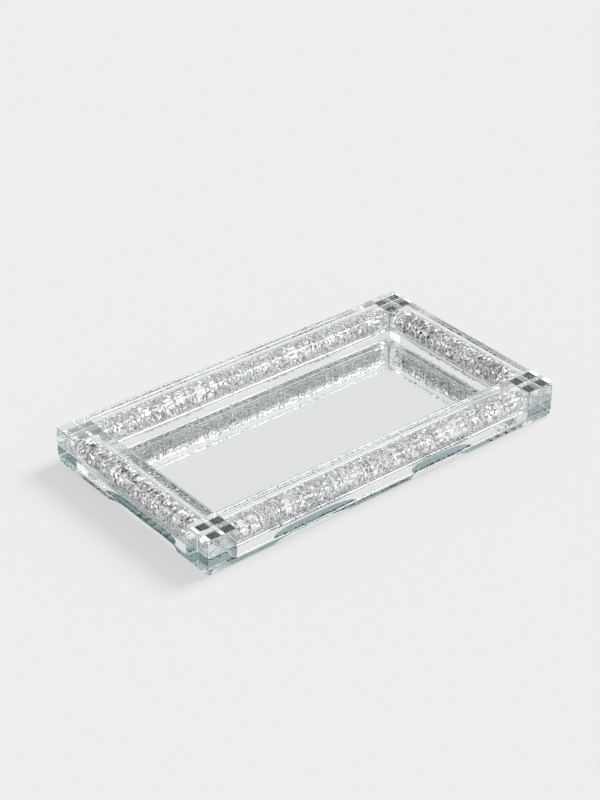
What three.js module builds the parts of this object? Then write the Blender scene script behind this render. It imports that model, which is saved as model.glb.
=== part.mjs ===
// Mirrored vanity tray: a glass base plate silvered underneath, framed by four square glass bars that
// are bored through and packed with crushed crystal, with a solid glass cube at each corner.
//
// Millimetres. +X runs along the long side, +Y from the front bar to the back bar, +Z up.
// The origin is under the middle of the tray, on the surface that the backing pad lies on.

import * as THREE from 'three';

// ---- driving dimensions ----

const TRAY_LENGTH = 330;
const TRAY_WIDTH = 185;
const BAR_SIZE = 25;
const BORE_RADIUS = 9.875;
const BORE_LIFT = 0.875;
const EDGE_CHAMFER = 0.25;
const PLATE_THICKNESS = 4;
const PLATE_INSET = 0.5;
const SILVERING_THICKNESS = 0.25;
const SILVERING_INSET = 0.5;
const BOND_THICKNESS = 0.25;
const BOND_INSET = 1;
const BUTT_GAP = 0.25;
const FILL_CLEARANCE = 0.25;
const FILL_END_CLEARANCE = 0.5;
const PAD_THICKNESS = 0.75;
const PAD_INSET = 2;

const BORE_HALF_SEGMENTS = 32;
const FILL_SEGMENTS = 48;

// ---- heights and spans worked out from them ----

const SILVERING_BOTTOM = PAD_THICKNESS;
const PLATE_BOTTOM = SILVERING_BOTTOM + SILVERING_THICKNESS;
const PLATE_TOP = PLATE_BOTTOM + PLATE_THICKNESS;
const BAR_BOTTOM = PLATE_TOP + BOND_THICKNESS;
const BAR_MIDDLE = BAR_BOTTOM + BAR_SIZE / 2;
const BORE_MIDDLE = BAR_MIDDLE + BORE_LIFT;

const CUBE_CENTRE_X = (TRAY_LENGTH - BAR_SIZE) / 2;
const CUBE_CENTRE_Y = (TRAY_WIDTH - BAR_SIZE) / 2;
const LONG_BAR_LENGTH = TRAY_LENGTH - 2 * BAR_SIZE - 2 * BUTT_GAP;
const SHORT_BAR_LENGTH = TRAY_WIDTH - 2 * BAR_SIZE - 2 * BUTT_GAP;

// The four sides: long ones run along X in front and behind, short ones along Y at left and right.
// A deep-drilled bore wanders a little: drift is how far its centre lies towards +Y or +X of the bar's.
const SIDES = [
  { name: 'front', alongX: true, x: 0, y: -CUBE_CENTRE_Y, length: LONG_BAR_LENGTH, drift: 0.75 },
  { name: 'back', alongX: true, x: 0, y: CUBE_CENTRE_Y, length: LONG_BAR_LENGTH, drift: -0.25 },
  { name: 'left', alongX: false, x: -CUBE_CENTRE_X, y: 0, length: SHORT_BAR_LENGTH, drift: -1 },
  { name: 'right', alongX: false, x: CUBE_CENTRE_X, y: 0, length: SHORT_BAR_LENGTH, drift: 0.25 },
];

// The four corners, as the signs of their X and Y.
const CORNERS = [
  { name: 'front_left', x: -1, y: -1 },
  { name: 'front_right', x: 1, y: -1 },
  { name: 'back_left', x: -1, y: 1 },
  { name: 'back_right', x: 1, y: 1 },
];

// ---- materials, a new one for each mesh ----

function clearGlass() {
  return new THREE.MeshStandardMaterial({ color: 0xeaf4f2, roughness: 0.02, metalness: 0 });
}

function plateGlass() {
  return new THREE.MeshStandardMaterial({ color: 0xcfe6e0, roughness: 0.02, metalness: 0 });
}

function silverBacking() {
  return new THREE.MeshStandardMaterial({ color: 0xdfe2e4, roughness: 0.05, metalness: 1 });
}

function crushedCrystal() {
  return new THREE.MeshStandardMaterial({ color: 0xb4b7ba, roughness: 0.15, metalness: 0.6 });
}

function clearAdhesive() {
  return new THREE.MeshStandardMaterial({ color: 0xf2f4f2, roughness: 0.1, metalness: 0 });
}

function paleFelt() {
  return new THREE.MeshStandardMaterial({ color: 0xe2e4e2, roughness: 0.9, metalness: 0 });
}

// ---- geometry helpers ----

// A rectangular outline with its four corners cut at 45 degrees.
function chamferedRectangle(sizeX, sizeY, chamfer) {
  const halfX = sizeX / 2;
  const halfY = sizeY / 2;
  const flatX = halfX - chamfer;
  const flatY = halfY - chamfer;
  const outline = new THREE.Shape();
  outline.moveTo(-flatX, -halfY);
  outline.lineTo(flatX, -halfY);
  outline.lineTo(halfX, -flatY);
  outline.lineTo(halfX, flatY);
  outline.lineTo(flatX, halfY);
  outline.lineTo(-flatX, halfY);
  outline.lineTo(-halfX, flatY);
  outline.lineTo(-halfX, -flatY);
  outline.closePath();
  return outline;
}

function addRoundHole(outline, centreX, centreY, radius) {
  const hole = new THREE.Path();
  hole.absarc(centreX, centreY, radius, 0, 2 * Math.PI, true);
  outline.holes.push(hole);
}

// Extrudes an outline to a given overall length, centred on its own middle, with chamfered ends.
function extrudeWithChamferedEnds(outline, length, chamfer, curveSegments) {
  const geometry = new THREE.ExtrudeGeometry(outline, {
    depth: length - 2 * chamfer,
    steps: 1,
    curveSegments,
    bevelEnabled: true,
    bevelSegments: 1,
    bevelThickness: chamfer,
    bevelSize: chamfer,
    bevelOffset: -chamfer,
  });
  geometry.translate(0, 0, chamfer - length / 2);
  return geometry;
}

// Turns a piece made along Z so that it runs along X or Y, by swapping axes exactly. The outline's
// second axis, which was Y, points up afterwards.
function layDown(geometry, alongX) {
  const xAxis = new THREE.Vector3(1, 0, 0);
  const yAxis = new THREE.Vector3(0, 1, 0);
  const up = new THREE.Vector3(0, 0, 1);
  const turn = new THREE.Matrix4();
  if (alongX) {
    turn.makeBasis(yAxis, up, xAxis);
  } else {
    turn.makeBasis(xAxis, up, yAxis.negate());
  }
  return geometry.applyMatrix4(turn);
}

function namedMesh(name, geometry, material, x, y, z) {
  const mesh = new THREE.Mesh(geometry, material);
  mesh.name = name;
  mesh.position.set(x, y, z);
  return mesh;
}

// ---- base ----

function mirrorPlate() {
  const length = TRAY_LENGTH - 2 * PLATE_INSET;
  const width = TRAY_WIDTH - 2 * PLATE_INSET;
  const outline = chamferedRectangle(length, width, EDGE_CHAMFER);
  const geometry = extrudeWithChamferedEnds(outline, PLATE_THICKNESS, EDGE_CHAMFER, 1);
  return namedMesh('mirror_plate', geometry, plateGlass(), 0, 0, PLATE_BOTTOM + PLATE_THICKNESS / 2);
}

// The silver and its backing paint, stopping just short of the plate's edges.
function mirrorSilvering() {
  const length = TRAY_LENGTH - 2 * (PLATE_INSET + SILVERING_INSET);
  const width = TRAY_WIDTH - 2 * (PLATE_INSET + SILVERING_INSET);
  const geometry = new THREE.BoxGeometry(length, width, SILVERING_THICKNESS);
  const middle = SILVERING_BOTTOM + SILVERING_THICKNESS / 2;
  return namedMesh('mirror_silvering', geometry, silverBacking(), 0, 0, middle);
}

// A thin felt pad glued under the silvering, a little smaller than the plate.
function backingPad() {
  const length = TRAY_LENGTH - 2 * (PLATE_INSET + PAD_INSET);
  const width = TRAY_WIDTH - 2 * (PLATE_INSET + PAD_INSET);
  const geometry = new THREE.BoxGeometry(length, width, PAD_THICKNESS);
  return namedMesh('backing_pad', geometry, paleFelt(), 0, 0, PAD_THICKNESS / 2);
}

// ---- frame ----

function rail(side) {
  const section = chamferedRectangle(BAR_SIZE, BAR_SIZE, EDGE_CHAMFER);
  addRoundHole(section, side.drift, BORE_LIFT, BORE_RADIUS);
  const bar = extrudeWithChamferedEnds(section, side.length, EDGE_CHAMFER, BORE_HALF_SEGMENTS);
  const geometry = layDown(bar, side.alongX);
  return namedMesh(`rail_${side.name}`, geometry, clearGlass(), side.x, side.y, BAR_MIDDLE);
}

function crystalFill(side) {
  const radius = BORE_RADIUS - FILL_CLEARANCE;
  const length = side.length - 2 * FILL_END_CLEARANCE;
  const column = new THREE.CylinderGeometry(radius, radius, length, FILL_SEGMENTS);
  if (side.alongX) {
    column.rotateZ(Math.PI / 2);
  }
  const x = side.alongX ? side.x : side.x + side.drift;
  const y = side.alongX ? side.y + side.drift : side.y;
  return namedMesh(`crystal_fill_${side.name}`, column, crushedCrystal(), x, y, BORE_MIDDLE);
}

function cornerCube(corner) {
  const section = chamferedRectangle(BAR_SIZE, BAR_SIZE, EDGE_CHAMFER);
  const geometry = extrudeWithChamferedEnds(section, BAR_SIZE, EDGE_CHAMFER, 1);
  const x = corner.x * CUBE_CENTRE_X;
  const y = corner.y * CUBE_CENTRE_Y;
  return namedMesh(`corner_cube_${corner.name}`, geometry, clearGlass(), x, y, BAR_MIDDLE);
}

// ---- adhesive ----

function bondFilm(name, sizeX, sizeY, x, y) {
  const geometry = new THREE.BoxGeometry(sizeX - 2 * BOND_INSET, sizeY - 2 * BOND_INSET, BOND_THICKNESS);
  return namedMesh(`bond_film_${name}`, geometry, clearAdhesive(), x, y, PLATE_TOP + BOND_THICKNESS / 2);
}

function railBond(side) {
  const sizeX = side.alongX ? side.length : BAR_SIZE;
  const sizeY = side.alongX ? BAR_SIZE : side.length;
  return bondFilm(`rail_${side.name}`, sizeX, sizeY, side.x, side.y);
}

function cubeBond(corner) {
  const x = corner.x * CUBE_CENTRE_X;
  const y = corner.y * CUBE_CENTRE_Y;
  return bondFilm(`cube_${corner.name}`, BAR_SIZE, BAR_SIZE, x, y);
}

// ---- assembly ----

const tray = new THREE.Group();
tray.add(backingPad());
tray.add(mirrorPlate());
tray.add(mirrorSilvering());
for (const side of SIDES) {
  tray.add(rail(side));
  tray.add(crystalFill(side));
  tray.add(railBond(side));
}
for (const corner of CORNERS) {
  tray.add(cornerCube(corner));
  tray.add(cubeBond(corner));
}

export default tray;
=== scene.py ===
"""Looks of the mirrored crystal tray: glass bars packed with crushed crystal round a mirrored plate."""

import math
import random

import bmesh
import bpy
from mathutils import Matrix, Vector


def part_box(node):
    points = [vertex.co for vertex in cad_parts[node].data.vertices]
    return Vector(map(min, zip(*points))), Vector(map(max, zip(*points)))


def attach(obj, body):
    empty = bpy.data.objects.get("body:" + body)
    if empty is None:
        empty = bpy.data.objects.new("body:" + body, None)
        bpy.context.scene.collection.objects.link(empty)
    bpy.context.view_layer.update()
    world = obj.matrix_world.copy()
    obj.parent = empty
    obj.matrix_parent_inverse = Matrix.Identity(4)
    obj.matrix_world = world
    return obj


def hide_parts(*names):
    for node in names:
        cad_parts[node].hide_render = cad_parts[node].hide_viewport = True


MM = 0.001
WHITE = (1.0, 1.0, 1.0, 1.0)

# ---- the tray's bars and corners ----

# Each bar's side of the tray, and the axis that it runs along: 0 is X and 1 is Y.
RAILS = (("front", 0), ("back", 0), ("left", 1), ("right", 1))
# The sides whose bars have their outer face towards -X or -Y.
LOW_SIDES = ("front", "left")
CORNERS = ("front_left", "front_right", "back_left", "back_right")

# ---- glass ----

GLASS_IOR = 1.52
# A tint is the colour that the glass leaves to light, and how much of the rest it absorbs.
BAR_TINT = ((0.84, 1.0, 0.98, 1.0), 2.5)
PLATE_TINT = ((0.71, 0.79, 0.78, 1.0), 11.0)
BORE_SIDES = 144
ANGLE_DIGITS = 9
BORE_CLEARANCE = 0.25 * MM
EDGE_CHAMFER = 0.08 * MM
MOUTH_CHAMFER = 0.4 * MM
SHARP_ANGLE = math.radians(30)
GROUND_ROUGHNESS = 0.22
GROUND_GRAIN_DEPTH = 0.1 * MM

# ---- mirror and pad ----

SILVER_OVERLAP = 0.02 * MM
SILVER_COLOR = (0.965, 0.972, 0.975, 1.0)
PAINT_DARK = (0.52, 0.54, 0.56, 1.0)
PAINT_LIGHT = (0.62, 0.64, 0.66, 1.0)
FELT_DARK = (0.66, 0.67, 0.66, 1.0)
FELT_LIGHT = (0.80, 0.81, 0.80, 1.0)
FELT_NAP = 0.2 * MM

# ---- adhesive ----

FILM_GAP = 0.02 * MM
# The adhesive wets only part of the joint under a bar. For each puddle: where along the bar its middle
# is, half its length, and how far in from the bar's outer face it reaches. Its outer edge is straight
# and lies a little in from that face.
PUDDLES = {
    "front": ((-67.5 * MM, 38.0 * MM, 16.5 * MM), (54.0 * MM, 29.5 * MM, 20.0 * MM)),
    "back": ((-70.0 * MM, 34.0 * MM, 9.0 * MM), (58.0 * MM, 41.0 * MM, 10.0 * MM)),
    "left": ((-9.5 * MM, 42.5 * MM, 20.0 * MM),),
    "right": ((6.0 * MM, 38.0 * MM, 10.0 * MM),),
}
PUDDLE_INSET = 3.0 * MM
PUDDLE_POWER = 3.0
PUDDLE_STEPS = 40
PUDDLE_END_SHARE = 0.999
RIM_WIDTH = 2.6 * MM
GRIT_CELLS = 650.0
RAIL_GRIT_SHARE = 0.35
RAIL_GRIT_COLOR = (0.05, 0.06, 0.06, 1.0)
CUBE_GRIT_SHARE = 0.04
CUBE_GRIT_COLOR = (0.80, 0.82, 0.82, 1.0)

# ---- crushed crystal ----

CHIP_SEED = 11
CHIP_SHAPES = 40
CHIP_POINTS = 8
# The ranges of a chip's width and thickness against its length, and how much it is narrowed along the bar.
CHIP_WIDTHS = (0.6, 1.0)
CHIP_THICKNESSES = (0.45, 0.9)
CHIP_NARROWING = 0.75
WALL_GAP = 0.08 * MM
END_GAP = 1.0 * MM
# Layers of chips from the bore's wall inward: how deep each starts, its spacing, and its chips' radius.
CHIP_LAYERS = (
    (0.0, 2.2 * MM, 1.8 * MM),
    (1.8 * MM, 2.4 * MM, 1.9 * MM),
    (4.6 * MM, 3.6 * MM, 2.6 * MM),
)
CHIP_JITTER = 0.45
CHIP_SPREAD = (0.7, 1.2)
LEAST_ROWS = 3
CLEAR_SHARE = 0.10
BIG_CHIP_RADIUS = 3.4 * MM
BIG_CHIP_SPACING = 5.5 * MM
BIG_CHIP_SPREAD = (0.7, 1.1)
BIG_CHIP_ROOM = 0.75
BIG_CLEAR_SHARE = 0.5
# The size and the shade of the chips in the bars along X and along Y.
CHIP_SIZES = (1.0, 1.45)
CHIP_SHADES = (1.0, 0.62)
# How much of a facet's tone it shares with the rest of its chip, and how tone becomes brightness.
CHIP_TONE_SHARE = 0.5
DARKEST_FACET = 0.03
FIRST_FULL_TONE = 0.35

# ---- dust, foil flakes and drill rings on the bores' walls ----

# Cells of dust per metre along a bore and across it, the share of cells that hold a speck, the darkest
# speck, the tone from which a speck is fully bright, and how far above level the dustiest part of the
# wall lies. Each has a value for the bars along X and one for the bars along Y.
DUST_CELLS = ((900.0, 520.0), (600.0, 420.0))
DUST_SHARES = (0.80, 0.75)
DUST_DARKEST = (0.30, 0.04)
DUST_FULL_TONES = (0.45, 0.75)
DUST_SLOPES = (math.radians(30), math.radians(45))
# The cosines of the angles from there at which the dust ends, and within which it is at its full share.
DUST_EDGE = 0.66
DUST_FULL = 0.90
SPECK_TILT = 0.9
# Cells of foil flakes per metre along a bore and across it, the share of cells that hold a flake in the
# bars along X and along Y, and the least dustiness of the wall where flakes lie.
FLAKE_CELLS = (260.0, 140.0)
FLAKE_SHARES = (0.14, 0.03)
FLAKE_ZONE = 0.5
FLAKE_TILT = 0.5
# A drill ring lies where a noise along the bore crosses its middle value, and shows only where another
# noise is high.
NOISE_MIDDLE = 0.5
RING_WAVES = 160.0
RING_WIDTH = 0.007
RING_PATCH_WAVES = 90.0
RING_PATCH_LEVEL = 0.52

# ---- studio ----

FLOOR_SIZE = 12.0
FLOOR_DROP = 0.05 * MM
FLOOR_TONE = 0.22
FLOOR_GLOW = 0.87
FLOOR_GLOW_SHARE = 0.7
# The room is evenly white but for two round patches: a bright key and a dark one. Each keeps its own
# brightness out to an inner angle and blends into the room at an outer one.
ROOM_BRIGHTNESS = 1.0
KEY_BRIGHTNESS = 3.0
KEY_AZIMUTH = math.radians(80)
KEY_ELEVATION = math.radians(50)
KEY_INNER = math.radians(12)
KEY_OUTER = math.radians(42)
DARK_BRIGHTNESS = 0.03
DARK_AZIMUTH = math.radians(-44)
DARK_ELEVATION = math.radians(34)
DARK_INNER = math.radians(7)
DARK_OUTER = math.radians(13)
SUN_STRENGTH = 12.0
SUN_AZIMUTH = math.radians(88)
SUN_ELEVATION = math.radians(43)
SUN_SPREAD = math.radians(28)
CAMERA_AZIMUTH = math.radians(-39.15)
CAMERA_ELEVATION = math.radians(31.95)
CAMERA_DISTANCE = 1.604
CAMERA_LENS = 93.08
CAMERA_SENSOR = 36.0
AIM_X = 24.0 * MM
AIM_Y = 40.0 * MM
LIGHT_BOUNCES = 64


# ---- places on the bars ----


def along(axis, distance, side, height):
    """A point by its distance along a bar, its sideways offset and its height."""
    if axis == 0:
        return Vector((distance, side, height))
    return Vector((side, distance, height))


def bore(side, axis):
    """The bore of a bar, from the CAD fill in it: its centre line's middle point, and its radius."""
    low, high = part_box(f"crystal_fill_{side}")
    return (low + high) / 2, (high - low)[1 - axis] / 2 + BORE_CLEARANCE


def outer_face(side, axis):
    """Where a bar's outer face lies, across the bar, and the sign of the way in from it."""
    low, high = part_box(f"rail_{side}")
    if side in LOW_SIDES:
        return low[1 - axis], 1
    return high[1 - axis], -1


# ---- node helpers ----


def new_material(name):
    """An empty node material: the material, its node tree and its output node."""
    material = bpy.data.materials.new(name)
    material.use_nodes = True
    tree = material.node_tree
    tree.nodes.clear()
    return material, tree, tree.nodes.new("ShaderNodeOutputMaterial")


def feed(tree, socket, value):
    """Links an input to another node's socket, or sets it to a number, a vector or a colour."""
    if isinstance(value, bpy.types.NodeSocket):
        tree.links.new(value, socket)
    else:
        socket.default_value = value


def add_node(tree, kind, **inputs):
    """A node with some of its inputs fed; underscores in an input's name stand for spaces."""
    node = tree.nodes.new(kind)
    for name, value in inputs.items():
        feed(tree, node.inputs[name.replace("_", " ")], value)
    return node


def maths_node(tree, kind, operation, values):
    """A Math or Vector Math node on values, each of them a socket or a constant."""
    node = tree.nodes.new(kind)
    node.operation = operation
    for socket, value in zip(node.inputs, values):
        feed(tree, socket, value)
    return node


def calculate(tree, operation, *values):
    return maths_node(tree, "ShaderNodeMath", operation, values).outputs["Value"]


def combine(tree, operation, *vectors):
    return maths_node(tree, "ShaderNodeVectorMath", operation, vectors).outputs["Vector"]


def dot_product(tree, *vectors):
    return maths_node(tree, "ShaderNodeVectorMath", "DOT_PRODUCT", vectors).outputs["Value"]


def mix_shaders(tree, share, first, second):
    """The first shader, with this share of the second one in its place."""
    mix = add_node(tree, "ShaderNodeMixShader", Fac=share)
    feed(tree, mix.inputs[1], first)
    feed(tree, mix.inputs[2], second)
    return mix.outputs["Shader"]


def grey(brightness):
    return (brightness, brightness, brightness, 1.0)


def two_tone(tree, value, dark, light, last_dark=0.0, first_light=1.0):
    """A colour that runs from dark to light between two values."""
    ramp = add_node(tree, "ShaderNodeValToRGB", Fac=value)
    low, high = ramp.color_ramp.elements
    low.position = last_dark
    low.color = dark
    high.position = first_light
    high.color = light
    return ramp.outputs["Color"]


def place(tree):
    """Where a point of the surface is, in its object and so in the tray, whose origins are the same."""
    return add_node(tree, "ShaderNodeTexCoord").outputs["Object"]


def place_parts(tree):
    """The X, Y and Z of a point of the surface."""
    return add_node(tree, "ShaderNodeSeparateXYZ", Vector=place(tree)).outputs


def surface_normal(tree):
    return add_node(tree, "ShaderNodeNewGeometry").outputs["Normal"]


def face_mark(tree, name):
    """The number that mark_faces stored under this name."""
    node = tree.nodes.new("ShaderNodeAttribute")
    node.attribute_name = name
    return node.outputs["Fac"]


def clear_surface(tree, **inputs):
    """The shader of clear glass."""
    return add_node(tree, "ShaderNodeBsdfGlass", IOR=GLASS_IOR, Color=WHITE, **inputs).outputs["BSDF"]


def metal_surface(tree, **inputs):
    """The shader of silvering, foil or a shiny grain."""
    return add_node(tree, "ShaderNodeBsdfAnisotropic", **inputs).outputs["BSDF"]


# ---- where the adhesive wets the glass ----


def puddle_cover(tree, run, depth, middle, half_length, reach):
    """1 inside one arched puddle, from the distance along the bar and the depth in from its outer face."""
    offset = calculate(tree, "ABSOLUTE", calculate(tree, "SUBTRACT", run, middle))
    share = calculate(tree, "MINIMUM", calculate(tree, "DIVIDE", offset, half_length), 1.0)
    left_over = calculate(tree, "SUBTRACT", 1.0, calculate(tree, "POWER", share, PUDDLE_POWER))
    arch = calculate(tree, "POWER", left_over, 1.0 / PUDDLE_POWER)
    within = calculate(tree, "LESS_THAN", depth, calculate(tree, "MULTIPLY", arch, reach))
    return calculate(tree, "MULTIPLY", within, calculate(tree, "GREATER_THAN", depth, PUDDLE_INSET))


def cube_cover(tree, x, y):
    """1 within the square of adhesive under any of the four corner cubes."""
    low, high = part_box("bond_film_cube_back_right")
    middle = (low + high) / 2
    half = (high - low) / 2
    cover = 1.0
    for value, centre, reach in ((x, middle.x, half.x), (y, middle.y, half.y)):
        away = calculate(tree, "SUBTRACT", calculate(tree, "ABSOLUTE", value), centre)
        within = calculate(tree, "LESS_THAN", calculate(tree, "ABSOLUTE", away), reach)
        cover = calculate(tree, "MULTIPLY", cover, within)
    return cover


def bond_cover(tree):
    """1 where adhesive wets the glass in a joint, 0 where the joint is dry and on every other face."""
    x, y, z = place_parts(tree)
    cover = cube_cover(tree, x, y)
    for side, axis in RAILS:
        run, across = (x, y) if axis == 0 else (y, x)
        face, inward = outer_face(side, axis)
        depth = calculate(tree, "MULTIPLY", calculate(tree, "SUBTRACT", across, face), inward)
        for puddle in PUDDLES[side]:
            cover = calculate(tree, "MAXIMUM", cover, puddle_cover(tree, run, depth, *puddle))
    low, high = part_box("bond_film_rail_front")
    height = calculate(tree, "ABSOLUTE", calculate(tree, "SUBTRACT", z, (low.z + high.z) / 2))
    level = calculate(tree, "LESS_THAN", height, (high.z - low.z) / 2 + FILM_GAP)
    return calculate(tree, "MULTIPLY", cover, level)


# ---- glass materials ----


def finish_glass(tree, output, surface, tint):
    """Gives a glass material its surface, and the tint that light takes on inside it."""
    color, density = tint
    body = add_node(tree, "ShaderNodeVolumeAbsorption", Color=color, Density=density)
    feed(tree, output.inputs["Surface"], surface)
    feed(tree, output.inputs["Volume"], body.outputs["Volume"])


def polished_face(tree):
    """The shader of a polished face, which light crosses unbent where adhesive joins it to the next."""
    bonded = add_node(tree, "ShaderNodeBsdfTransparent").outputs["BSDF"]
    return mix_shaders(tree, bond_cover(tree), clear_surface(tree, Roughness=0.0), bonded)


def ground_face(tree):
    """The shader of a sawn and ground face."""
    grain = add_node(tree, "ShaderNodeTexNoise", Scale=2500.0, Detail=3.0).outputs["Fac"]
    bump = add_node(tree, "ShaderNodeBump", Height=grain, Strength=0.35, Distance=GROUND_GRAIN_DEPTH)
    return clear_surface(tree, Roughness=GROUND_ROUGHNESS, Normal=bump.outputs["Normal"])


def clear_glass(name, tint):
    """Glass that is polished all over."""
    material, tree, output = new_material(name)
    finish_glass(tree, output, polished_face(tree), tint)
    return material


def bar_glass(name, axis, height, tint):
    """A bar's glass: polished outside, ground at its ends, and bored out, as its faces are marked."""
    material, tree, output = new_material(name)
    surface = polished_face(tree)
    surface = mix_shaders(tree, face_mark(tree, "ground"), surface, ground_face(tree))
    surface = mix_shaders(tree, face_mark(tree, "bored"), surface, bored_face(tree, axis, height))
    finish_glass(tree, output, surface, tint)
    return material


# ---- the bores' walls ----


def drill_rings(tree, run):
    """1 on thin broken rings round a bore, from the distance along it."""
    waves = add_node(tree, "ShaderNodeTexNoise", Scale=RING_WAVES, Detail=1.0)
    waves.noise_dimensions = "1D"
    feed(tree, waves.inputs["W"], run)
    offset = calculate(tree, "SUBTRACT", waves.outputs["Fac"], NOISE_MIDDLE)
    ring = calculate(tree, "LESS_THAN", calculate(tree, "ABSOLUTE", offset), RING_WIDTH)
    patches = add_node(tree, "ShaderNodeTexNoise", Vector=place(tree), Scale=RING_PATCH_WAVES, Detail=1.0)
    shown = calculate(tree, "GREATER_THAN", patches.outputs["Fac"], RING_PATCH_LEVEL)
    return calculate(tree, "MULTIPLY", ring, shown)


def tilted_normal(tree, cell_color, tilt):
    """The surface's normal, leant a different way in every cell."""
    lean = combine(tree, "SUBTRACT", cell_color, (NOISE_MIDDLE, NOISE_MIDDLE, NOISE_MIDDLE))
    lean = combine(tree, "MULTIPLY", lean, (tilt, tilt, tilt))
    return combine(tree, "NORMALIZE", combine(tree, "ADD", surface_normal(tree), lean))


def wall_cells(tree, axis, cells_along, cells_across):
    """Cells on a bore's wall, each with a random colour: the colour, and its red and green parts."""
    cells_per_metre = along(axis, cells_along, cells_across, cells_across)
    stretched = add_node(tree, "ShaderNodeMapping", Vector=place(tree), Scale=cells_per_metre)
    cells = add_node(tree, "ShaderNodeTexVoronoi", Vector=stretched.outputs["Vector"], Scale=1.0)
    parts = add_node(tree, "ShaderNodeSeparateColor", Color=cells.outputs["Color"])
    return cells.outputs["Color"], parts.outputs["Red"], parts.outputs["Green"]


def dusty_zone(tree, axis, height):
    """How dusty a bore's wall is, from 0 to 1: most on its upper part, on the side towards -X or -Y."""
    slope = DUST_SLOPES[axis]
    dustiest = along(axis, 0, -math.cos(slope), math.sin(slope))
    facing = calculate(tree, "ABSOLUTE", dot_product(tree, surface_normal(tree), dustiest))
    cover = add_node(tree, "ShaderNodeMapRange", Value=facing, From_Min=DUST_EDGE, From_Max=DUST_FULL)
    upper = calculate(tree, "GREATER_THAN", place_parts(tree)["Z"], height)
    return calculate(tree, "MULTIPLY", upper, cover.outputs["Result"])


def bored_face(tree, axis, height):
    """The shader of a bore's wall: clear glass with silvery dust, foil flakes and broken drill rings."""
    zone = dusty_zone(tree, axis, height)
    ring = drill_rings(tree, place_parts(tree)[axis])

    speck, tone, chance = wall_cells(tree, axis, *DUST_CELLS[axis])
    dusty = calculate(tree, "LESS_THAN", chance, calculate(tree, "MULTIPLY", zone, DUST_SHARES[axis]))
    dust_tone = calculate(tree, "MAXIMUM", tone, ring)
    darkest = grey(DUST_DARKEST[axis])
    dust_color = two_tone(tree, dust_tone, darkest, WHITE, first_light=DUST_FULL_TONES[axis])
    dust_normal = tilted_normal(tree, speck, SPECK_TILT)
    dust = metal_surface(tree, Color=dust_color, Roughness=0.3, Normal=dust_normal)

    flake, _, chance = wall_cells(tree, axis, *FLAKE_CELLS)
    well_inside = calculate(tree, "GREATER_THAN", zone, FLAKE_ZONE)
    flake_share = calculate(tree, "MULTIPLY", well_inside, FLAKE_SHARES[axis])
    flaked = calculate(tree, "LESS_THAN", chance, flake_share)
    flake_normal = tilted_normal(tree, flake, FLAKE_TILT)
    foil = metal_surface(tree, Color=WHITE, Roughness=0.15, Normal=flake_normal)

    dusty_or_ringed = calculate(tree, "MAXIMUM", dusty, ring)
    surface = mix_shaders(tree, dusty_or_ringed, clear_surface(tree, Roughness=0.0), dust)
    return mix_shaders(tree, flaked, surface, foil)


# ---- other materials ----


def silver_mirror():
    """Bright silver, as it looks through the plate."""
    material, tree, output = new_material("silver_mirror")
    silver = add_node(tree, "ShaderNodeBsdfPrincipled", Base_Color=SILVER_COLOR, Metallic=1.0, Roughness=0.0)
    feed(tree, output.inputs["Surface"], silver.outputs["BSDF"])
    return material


def backing_paint():
    """Grey paint, a little mottled."""
    material, tree, output = new_material("backing_paint")
    mottle = add_node(tree, "ShaderNodeTexNoise", Vector=place(tree), Scale=180.0, Detail=4.0)
    color = two_tone(tree, mottle.outputs["Fac"], PAINT_DARK, PAINT_LIGHT)
    paint = add_node(tree, "ShaderNodeBsdfPrincipled", Base_Color=color, Roughness=0.55)
    feed(tree, output.inputs["Surface"], paint.outputs["BSDF"])
    return material


def crystal_chips():
    """Silvered chips, whose facets differ in tone, with some clear ones among them."""
    material, tree, output = new_material("crystal_chips")
    tone = face_mark(tree, "tone")
    color = two_tone(tree, tone, grey(DARKEST_FACET), WHITE, first_light=FIRST_FULL_TONE)
    silver = metal_surface(tree, Color=color, Roughness=0.28)
    surface = mix_shaders(tree, face_mark(tree, "clear"), silver, clear_surface(tree, Roughness=0.0))
    feed(tree, output.inputs["Surface"], surface)
    return material


def clear_adhesive(name, grit_share, grit_color):
    """Clear adhesive, with specks of grit along its rim nearest the tray's outside."""
    material, tree, output = new_material(name)
    x, y, _ = place_parts(tree)
    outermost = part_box("bond_film_cube_back_right")[1]
    depth_x = calculate(tree, "SUBTRACT", outermost.x, calculate(tree, "ABSOLUTE", x))
    depth_y = calculate(tree, "SUBTRACT", outermost.y, calculate(tree, "ABSOLUTE", y))
    depth = calculate(tree, "MINIMUM", depth_x, depth_y)
    on_rim = calculate(tree, "LESS_THAN", depth, PUDDLE_INSET + RIM_WIDTH)
    cells = add_node(tree, "ShaderNodeTexVoronoi", Vector=place(tree), Scale=GRIT_CELLS)
    parts = add_node(tree, "ShaderNodeSeparateColor", Color=cells.outputs["Color"])
    specks = calculate(tree, "LESS_THAN", parts.outputs["Red"], grit_share)
    clear = add_node(tree, "ShaderNodeBsdfTransparent").outputs["BSDF"]
    grit = metal_surface(tree, Color=grit_color, Roughness=0.5)
    surface = mix_shaders(tree, calculate(tree, "MULTIPLY", on_rim, specks), clear, grit)
    feed(tree, output.inputs["Surface"], surface)
    return material


def pale_felt():
    """Pressed felt: short fibres that lie every way, seen as a fine mottle and a soft nap."""
    material, tree, output = new_material("pale_felt")
    noise = add_node(tree, "ShaderNodeTexNoise", Vector=place(tree), Scale=900.0, Detail=6.0, Roughness=0.7)
    fibres = noise.outputs["Fac"]
    color = two_tone(tree, fibres, FELT_DARK, FELT_LIGHT, last_dark=0.3, first_light=0.7)
    nap = add_node(tree, "ShaderNodeBump", Height=fibres, Strength=0.6, Distance=FELT_NAP).outputs["Normal"]
    felt = add_node(tree, "ShaderNodeBsdfPrincipled", Base_Color=color, Roughness=0.95, Normal=nap)
    feed(tree, felt.inputs["Sheen Weight"], 0.3)
    feed(tree, output.inputs["Surface"], felt.outputs["BSDF"])
    return material


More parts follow.
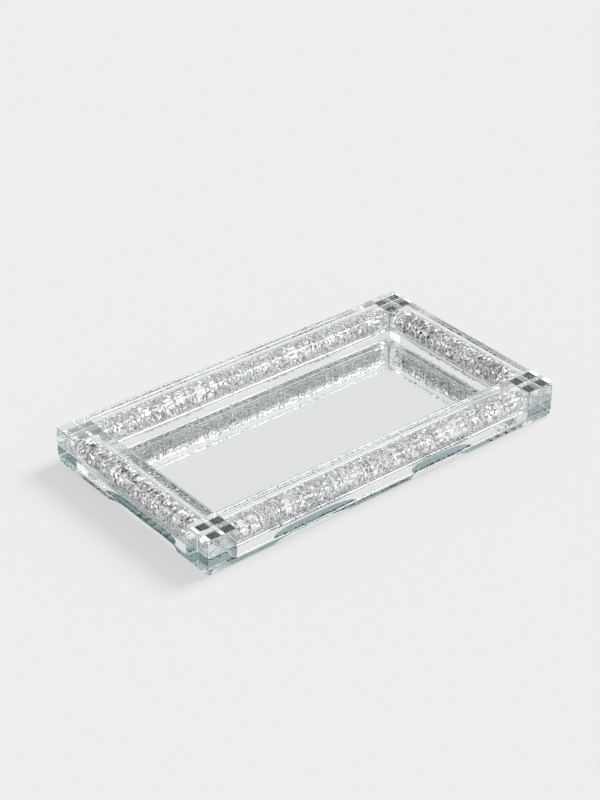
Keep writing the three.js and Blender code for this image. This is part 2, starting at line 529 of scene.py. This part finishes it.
def floor_paper():
    """Pale paper on a light table, so that part of its brightness comes from under it."""
    material, tree, output = new_material("floor_paper")
    paper = add_node(tree, "ShaderNodeBsdfDiffuse", Color=grey(FLOOR_TONE), Roughness=0.0).outputs["BSDF"]
    glow = add_node(tree, "ShaderNodeEmission", Strength=FLOOR_GLOW).outputs["Emission"]
    feed(tree, output.inputs["Surface"], mix_shaders(tree, FLOOR_GLOW_SHARE, paper, glow))
    return material


# ---- mesh helpers ----


def add_object(name, data):
    thing = bpy.data.objects.new(name, data)
    bpy.context.scene.collection.objects.link(thing)
    return thing


def mesh_object(name, points, faces, material):
    mesh = bpy.data.meshes.new(name)
    mesh.from_pydata(points, [], faces)
    mesh.materials.append(material)
    return add_object(name, mesh)


def face_outward(piece):
    """Turns every face of a closed mesh so that it points out."""
    shape = bmesh.new()
    shape.from_mesh(piece.data)
    bmesh.ops.recalc_face_normals(shape, faces=shape.faces)
    shape.to_mesh(piece.data)
    shape.free()


def tray_piece(name, points, faces, material, node, slot):
    """A closed mesh piece of the tray, which stands for a CAD node."""
    piece = mesh_object(name, points, faces, material)
    face_outward(piece)
    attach(piece, "root")
    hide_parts(node)
    return piece


def mark_faces(piece, name, values):
    """Stores one number for every face, which the piece's material reads by name."""
    attribute = piece.data.attributes.new(name, "FLOAT", "FACE")
    attribute.data.foreach_set("value", values)


def chamfered_square_point(angle, half, chamfer):
    """Where a ray from the middle at this angle meets a square with cut corners."""
    x = abs(math.cos(angle))
    y = abs(math.sin(angle))
    reach = min(half / max(x, y), (2 * half - chamfer) / (x + y))
    return reach * math.cos(angle), reach * math.sin(angle)


def section_angles(half, chamfer):
    """Evenly spaced angles round the bore, with the eight corners of the cut square among them."""
    angles = {round(math.tau * i / BORE_SIDES, ANGLE_DIGITS) for i in range(BORE_SIDES)}
    for quarter in range(4):
        for corner in (math.atan2(half - chamfer, half), math.atan2(half, half - chamfer)):
            angles.add(round(corner + quarter * math.pi / 2, ANGLE_DIGITS))
    return sorted(angles)


# ---- rails ----


def build_rail(side, axis, material):
    """A square glass bar with cut edges and a round bore from end to end."""
    node = f"rail_{side}"
    low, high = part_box(node)
    centre = (low + high) / 2
    bore_middle, bore_radius = bore(side, axis)
    drift = (bore_middle - centre)[1 - axis]
    lift = bore_middle.z - centre.z
    end = (high - low)[axis] / 2
    half = (high - low).z / 2
    angles = section_angles(half, EDGE_CHAMFER)

    def square_ring(distance, ring_half):
        return [(distance, *chamfered_square_point(a, ring_half, EDGE_CHAMFER)) for a in angles]

    def round_ring(distance, radius):
        return [(distance, drift + radius * math.cos(a), lift + radius * math.sin(a)) for a in angles]

    # Rings of points, each with the finish of the band of faces that joins it to the next ring.
    bands = (
        ("polished", square_ring(end - EDGE_CHAMFER, half)),
        ("polished", square_ring(-end + EDGE_CHAMFER, half)),
        ("ground", square_ring(-end, half - EDGE_CHAMFER)),
        ("ground", round_ring(-end, bore_radius + MOUTH_CHAMFER)),
        ("bored", round_ring(-end + MOUTH_CHAMFER, bore_radius)),
        ("ground", round_ring(end - MOUTH_CHAMFER, bore_radius)),
        ("ground", round_ring(end, bore_radius + MOUTH_CHAMFER)),
        ("polished", square_ring(end, half - EDGE_CHAMFER)),
    )
    count = len(angles)
    points = []
    faces = []
    finishes = []
    for band, (finish, ring) in enumerate(bands):
        points.extend(centre + along(axis, *p) for p in ring)
        here = band * count
        there = (band + 1) % len(bands) * count
        for i in range(count):
            j = (i + 1) % count
            faces.append((here + i, here + j, there + j, there + i))
            finishes.append(finish)
    rail = tray_piece(f"glass_{node}", points, faces, material, node, "crystal_glass")
    for finish in ("ground", "bored"):
        mark_faces(rail, finish, [float(f == finish) for f in finishes])
    rail.data.polygons.foreach_set("use_smooth", [f == "bored" for f in finishes])
    rail.data.set_sharp_from_angle(angle=SHARP_ANGLE)


# ---- crushed crystal ----


def random_direction(dice):
    return Vector((dice.gauss(0, 1), dice.gauss(0, 1), dice.gauss(0, 1))).normalized()


def chip_shape(dice):
    """One faceted splinter: the hull of a few random points on a squashed ball of radius 1."""
    shape = bmesh.new()
    squash = Vector((1.0, dice.uniform(*CHIP_WIDTHS), dice.uniform(*CHIP_THICKNESSES)))
    for _ in range(CHIP_POINTS):
        shape.verts.new(random_direction(dice) * squash)
    result = bmesh.ops.convex_hull(shape, input=shape.verts)
    spare = [v for v in result["geom_interior"] if isinstance(v, bmesh.types.BMVert)]
    bmesh.ops.delete(shape, geom=spare, context="VERTS")
    bmesh.ops.recalc_face_normals(shape, faces=shape.faces)
    shape.verts.index_update()
    points = [v.co.copy() for v in shape.verts]
    faces = [[v.index for v in f.verts] for f in shape.faces]
    shape.free()
    return points, faces


def random_turn(dice):
    axis = random_direction(dice)
    return Matrix.Rotation(dice.uniform(0, math.tau), 3, axis)


def seat_in_bore(points, distance, angle, depth, bore_radius):
    """Moves a chip out towards the bore's wall at this angle until its farthest point is at this depth."""
    outward = Vector((0, math.cos(angle), math.sin(angle)))
    limit = bore_radius - WALL_GAP - depth
    reach = max(p.dot(outward) for p in points)
    seated = [p + Vector((distance, 0, 0)) + outward * (limit - reach) for p in points]
    excess = max(math.hypot(p.y, p.z) for p in seated) - limit
    if excess > 0:
        seated = [p - outward * excess for p in seated]
    return seated


def layer_places(half_length, layer_radius, spacing, dice):
    """Jittered places on an unrolled layer of the bore: distances along it and angles round it."""
    columns = int(2 * half_length / spacing)
    rows = max(LEAST_ROWS, int(math.tau * layer_radius / spacing))
    for column in range(columns):
        for row in range(rows):
            distance = (column + 0.5 + dice.uniform(-CHIP_JITTER, CHIP_JITTER)) / columns * 2 - 1
            angle = (row + dice.uniform(-CHIP_JITTER, CHIP_JITTER)) / rows * math.tau
            yield distance * half_length, angle


def is_taken(distance, angle, bore_radius, big_chips):
    """Whether a place on the bore's wall lies within one of the big chips."""
    for big_distance, big_angle, big_radius in big_chips:
        across = math.remainder(angle - big_angle, math.tau) * bore_radius
        if math.hypot(distance - big_distance, across) < BIG_CHIP_ROOM * big_radius:
            return True
    return False


def chip_placements(half_length, bore_radius, size, dice):
    """Every chip in a bore: distance, angle, depth, radius, whether it is clear, and its tone."""
    big_chips = []
    for _ in range(int(2 * half_length / BIG_CHIP_SPACING)):
        distance = dice.uniform(-1, 1) * (half_length - BIG_CHIP_RADIUS)
        angle = dice.uniform(0, math.tau)
        radius = BIG_CHIP_RADIUS * dice.uniform(*BIG_CHIP_SPREAD)
        big_chips.append((distance, angle, radius))
        yield distance, angle, 0.0, radius, dice.random() < BIG_CLEAR_SHARE, 1.0
    for layer in CHIP_LAYERS:
        depth, spacing, layer_chip_radius = (size * measure for measure in layer)
        room = half_length - layer_chip_radius
        layer_radius = bore_radius - depth - layer_chip_radius
        for distance, angle in layer_places(room, layer_radius, spacing, dice):
            if depth > 0 or not is_taken(distance, angle, bore_radius, big_chips):
                radius = layer_chip_radius * dice.uniform(*CHIP_SPREAD)
                yield distance, angle, depth, radius, dice.random() < CLEAR_SHARE, dice.random()


def build_crystal_fill(side, axis, material, shapes, dice):
    """The crushed crystal in one bar: hundreds or thousands of faceted chips, as one piece."""
    node = f"crystal_fill_{side}"
    low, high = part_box(node)
    middle, bore_radius = bore(side, axis)
    half_length = (high - low)[axis] / 2 - END_GAP
    points = []
    faces = []
    tones = []
    clear_marks = []
    placements = chip_placements(half_length, bore_radius, CHIP_SIZES[axis], dice)
    for distance, angle, depth, radius, is_clear, chip_tone in placements:
        chip_points, chip_faces = dice.choice(shapes)
        turn = random_turn(dice)
        corners = [radius * (turn @ p) for p in chip_points]
        for corner in corners:
            corner.x *= CHIP_NARROWING
        start = len(points)
        seated = seat_in_bore(corners, distance, angle, depth, bore_radius)
        points.extend(middle + along(axis, *p) for p in seated)
        faces.extend([start + i for i in f] for f in chip_faces)
        for _ in chip_faces:
            tone = CHIP_TONE_SHARE * chip_tone + (1 - CHIP_TONE_SHARE) * dice.random()
            tones.append(CHIP_SHADES[axis] * tone)
        clear_marks.extend([float(is_clear)] * len(chip_faces))
    fill = tray_piece(f"chips_{side}", points, faces, material, node, "crushed_crystal")
    mark_faces(fill, "tone", tones)
    mark_faces(fill, "clear", clear_marks)


# ---- adhesive ----


def box_mesh(low, high):
    """The points and faces of a plain box between two corners."""
    points = [(x, y, z) for z in (low.z, high.z) for y in (low.y, high.y) for x in (low.x, high.x)]
    faces = [(0, 2, 3, 1), (4, 5, 7, 6), (0, 1, 5, 4), (2, 6, 7, 3), (0, 4, 6, 2), (1, 3, 7, 5)]
    return points, faces


def build_cube_bond(corner, material):
    """The adhesive under a cube, a thin square that keeps just clear of the glass above and below."""
    node = f"bond_film_cube_{corner}"
    low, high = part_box(node)
    gap = Vector((0, 0, FILM_GAP))
    tray_piece(f"clear_{node}", *box_mesh(low + gap, high - gap), material, node, "clear_adhesive")


def puddle_outline(middle, half_length, reach):
    """Points round one puddle: distance along the bar, and depth in from the bar's outer face."""
    outline = [(middle + half_length * PUDDLE_END_SHARE * end, PUDDLE_INSET) for end in (-1, 1)]
    for step in range(PUDDLE_STEPS + 1):
        share = math.cos(math.pi * step / PUDDLE_STEPS)
        depth = reach * (1 - abs(share) ** PUDDLE_POWER) ** (1 / PUDDLE_POWER)
        if depth > PUDDLE_INSET:
            outline.append((middle + half_length * share, depth))
    return outline


def build_rail_bond(side, axis, material):
    """The puddles of adhesive under a bar, as thin slabs with arched outlines."""
    node = f"bond_film_rail_{side}"
    low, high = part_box(node)
    face, inward = outer_face(side, axis)
    points = []
    faces = []
    for puddle in PUDDLES[side]:
        outline = puddle_outline(*puddle)
        count = len(outline)
        lower = range(len(points), len(points) + count)
        upper = range(lower.stop, lower.stop + count)
        for level in (low.z + FILM_GAP, high.z - FILM_GAP):
            points.extend(along(axis, run, face + inward * depth, level) for run, depth in outline)
        faces.extend((list(lower), list(upper)))
        for i in range(count):
            j = (i + 1) % count
            faces.append([lower[i], lower[j], upper[j], upper[i]])
    tray_piece(f"clear_{node}", points, faces, material, node, "clear_adhesive")


# ---- mirror and carried-over CAD nodes ----


def build_silvering(mirror, paint):
    """The silver on the plate's lower face. All but its top face, against the glass, is painted."""
    low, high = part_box("mirror_silvering")
    high.z += SILVER_OVERLAP
    box = box_mesh(low, high)
    silvering = tray_piece("silver_and_paint", *box, mirror, "mirror_silvering", "mirror_silver")
    silvering.data.materials.append(paint)
    for face in silvering.data.polygons:
        if round(face.normal.z) < 1:
            face.material_index = 1


def paint_node(piece, material):
    """Gives a CAD node its own new material."""
    piece.data.materials.clear()
    piece.data.materials.append(material)


# ---- studio ----


def build_floor():
    half = FLOOR_SIZE / 2
    corners = [(x, y, -FLOOR_DROP) for x, y in ((-half, -half), (half, -half), (half, half), (-half, half))]
    mesh_object("floor", corners, [(0, 1, 2, 3)], floor_paper())


def direction_towards(azimuth, elevation):
    """The direction of a place round the tray: azimuth 0 is in front of it, and 90 degrees to its right."""
    level = math.cos(elevation)
    return Vector((math.sin(azimuth) * level, -math.cos(azimuth) * level, math.sin(elevation)))


def patch_of_room(tree, direction, inner, outer):
    """1 within the inner angle of a direction, falling smoothly to 0 at the outer angle."""
    view = add_node(tree, "ShaderNodeTexCoord").outputs["Generated"]
    falloff = tree.nodes.new("ShaderNodeMapRange")
    falloff.interpolation_type = "SMOOTHSTEP"
    feed(tree, falloff.inputs["From Min"], math.cos(outer))
    feed(tree, falloff.inputs["From Max"], math.cos(inner))
    feed(tree, falloff.inputs["Value"], dot_product(tree, view, direction))
    return falloff.outputs["Result"]


def build_room_light():
    """A white room, brighter high on the right, with a dark patch in front, a little to the left."""
    world = bpy.data.worlds.new("studio")
    bpy.context.scene.world = world
    world.use_nodes = True
    tree = world.node_tree
    tree.nodes.clear()
    key = patch_of_room(tree, direction_towards(KEY_AZIMUTH, KEY_ELEVATION), KEY_INNER, KEY_OUTER)
    dark = patch_of_room(tree, direction_towards(DARK_AZIMUTH, DARK_ELEVATION), DARK_INNER, DARK_OUTER)
    level = add_node(tree, "ShaderNodeMapRange", Value=key, To_Min=ROOM_BRIGHTNESS, To_Max=KEY_BRIGHTNESS)
    dimming = add_node(tree, "ShaderNodeMapRange", Value=dark, To_Min=1.0, To_Max=DARK_BRIGHTNESS)
    strength = calculate(tree, "MULTIPLY", level.outputs["Result"], dimming.outputs["Result"])
    background = add_node(tree, "ShaderNodeBackground", Strength=strength)
    add_node(tree, "ShaderNodeOutputWorld", Surface=background.outputs["Background"])


def build_shadow_light():
    """A broad soft light from the right, which lays the tray's shadow to its left but never glints."""
    data = bpy.data.lights.new("shadow_light", "SUN")
    data.energy = SUN_STRENGTH
    data.angle = SUN_SPREAD
    lamp = add_object("shadow_light", data)
    direction = direction_towards(SUN_AZIMUTH, SUN_ELEVATION)
    lamp.rotation_euler = direction.to_track_quat("Z", "Y").to_euler()
    lamp.visible_glossy = False
    lamp.visible_transmission = False


def build_camera():
    """A long lens at the height and bearing of the reference view, aimed level with the bars' undersides."""
    data = bpy.data.cameras.new("camera")
    data.lens = CAMERA_LENS
    data.sensor_width = CAMERA_SENSOR
    camera = add_object("camera", data)
    aim = Vector((AIM_X, AIM_Y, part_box("rail_front")[0].z))
    camera.location = aim + CAMERA_DISTANCE * direction_towards(CAMERA_AZIMUTH, CAMERA_ELEVATION)
    camera.rotation_euler = (aim - camera.location).to_track_quat("-Z", "Y").to_euler()
    bpy.context.scene.camera = camera


def let_light_through_glass():
    """Enough bounces for light to cross bars, chips, plate and mirror."""
    scene = bpy.context.scene
    scene.view_settings.view_transform = "Standard"
    scene.cycles.max_bounces = LIGHT_BOUNCES
    scene.cycles.transmission_bounces = LIGHT_BOUNCES
    scene.cycles.glossy_bounces = LIGHT_BOUNCES
    scene.cycles.transparent_max_bounces = LIGHT_BOUNCES
    scene.cycles.use_denoising = True


# ---- assembly ----

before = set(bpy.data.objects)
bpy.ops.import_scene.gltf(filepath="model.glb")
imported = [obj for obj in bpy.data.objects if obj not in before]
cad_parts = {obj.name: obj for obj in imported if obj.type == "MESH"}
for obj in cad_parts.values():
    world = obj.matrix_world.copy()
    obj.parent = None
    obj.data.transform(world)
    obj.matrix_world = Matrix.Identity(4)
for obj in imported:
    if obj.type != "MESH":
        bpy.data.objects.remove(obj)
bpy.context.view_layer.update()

# All four bores lie at one height.
bore_height = bore("front", 0)[0].z
bar_glasses = [bar_glass(f"bar_glass_{name}", axis, bore_height, BAR_TINT) for axis, name in enumerate("xy")]
crystal = crystal_chips()
rail_adhesive = clear_adhesive("rail_adhesive", RAIL_GRIT_SHARE, RAIL_GRIT_COLOR)
dice = random.Random(CHIP_SEED)
chip_shapes = [chip_shape(dice) for _ in range(CHIP_SHAPES)]
for rail_side, rail_axis in RAILS:
    build_rail(rail_side, rail_axis, bar_glasses[rail_axis])
    build_crystal_fill(rail_side, rail_axis, crystal, chip_shapes, dice)
    build_rail_bond(rail_side, rail_axis, rail_adhesive)

cube_glass = clear_glass("cube_glass", BAR_TINT)
cube_adhesive = clear_adhesive("cube_adhesive", CUBE_GRIT_SHARE, CUBE_GRIT_COLOR)
for corner in CORNERS:
    paint_node(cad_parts[f"corner_cube_{corner}"], cube_glass)
    build_cube_bond(corner, cube_adhesive)

paint_node(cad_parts["mirror_plate"], clear_glass("plate_glass", PLATE_TINT))
paint_node(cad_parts["backing_pad"], pale_felt())
build_silvering(silver_mirror(), backing_paint())

build_floor()
build_room_light()
build_shadow_light()
build_camera()
let_light_through_glass()
